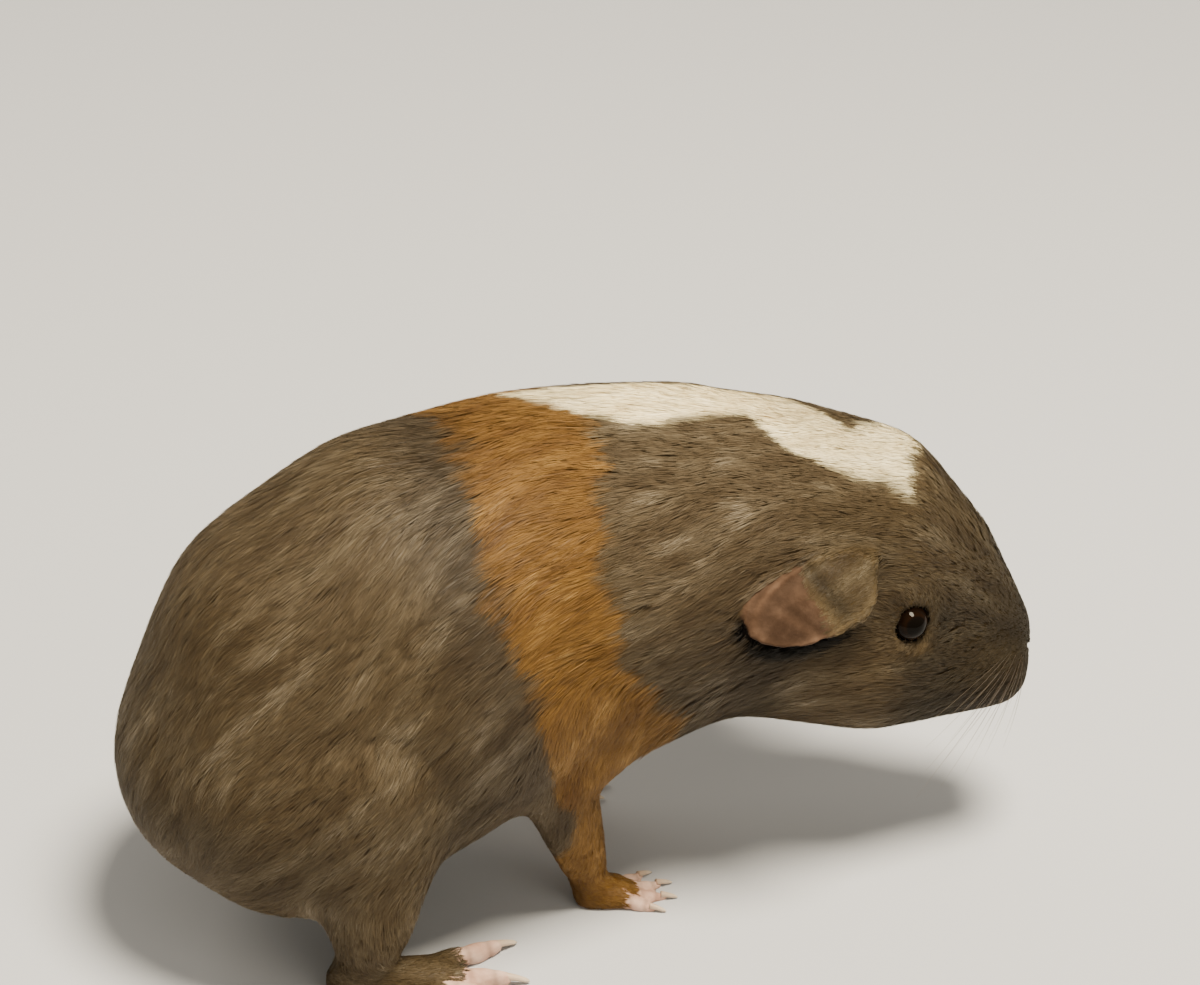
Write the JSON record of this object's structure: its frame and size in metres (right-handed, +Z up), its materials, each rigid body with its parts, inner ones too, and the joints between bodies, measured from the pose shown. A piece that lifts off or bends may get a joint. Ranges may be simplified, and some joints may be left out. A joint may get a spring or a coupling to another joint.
{
  "type": "guinea pig model",
  "caption": "Still life-size guinea pig standing with lowered, turned head: stocky rounded body, blunt muzzle, drooping petal ears and short clawed legs.",
  "frame": {"origin": "on the floor, below the middle of the animal's length and width", "axes": "+X forward from rump to nose, +Y to the animal's left, +Z up"},
  "size_m": [0.2463, 0.1218, 0.1387],
  "materials": {
    "coat": "short brown agouti fur with an orange band and a white nape patch",
    "ear_skin": "thin pinkish-brown bare skin",
    "foot_skin": "pale pink bare toes under short brown hair",
    "eye": "wet, very dark brown",
    "claw": "pale horn"
  },
  "bodies": {
    "root": {"head": "coat", "neck": "coat", "trunk": "coat", "ear_left": "ear_skin", "ear_right": "ear_skin", "eye_left": "eye", "eye_right": "eye", "foreleg_left": "coat", "foreleg_right": "coat", "hindleg_left": "coat", "hindleg_right": "coat", "forefoot_left": "foot_skin", "forefoot_right": "foot_skin", "hindfoot_left": "foot_skin", "hindfoot_right": "foot_skin", "claw_fore_left_1": "claw", "claw_fore_left_2": "claw", "claw_fore_left_3": "claw", "claw_fore_left_4": "claw", "claw_fore_right_1": "claw", "claw_fore_right_2": "claw", "claw_fore_right_3": "claw", "claw_fore_right_4": "claw", "claw_hind_left_1": "claw", "claw_hind_left_2": "claw", "claw_hind_left_3": "claw", "claw_hind_right_1": "claw", "claw_hind_right_2": "claw", "claw_hind_right_3": "claw"}
  },
  "joints": []
}
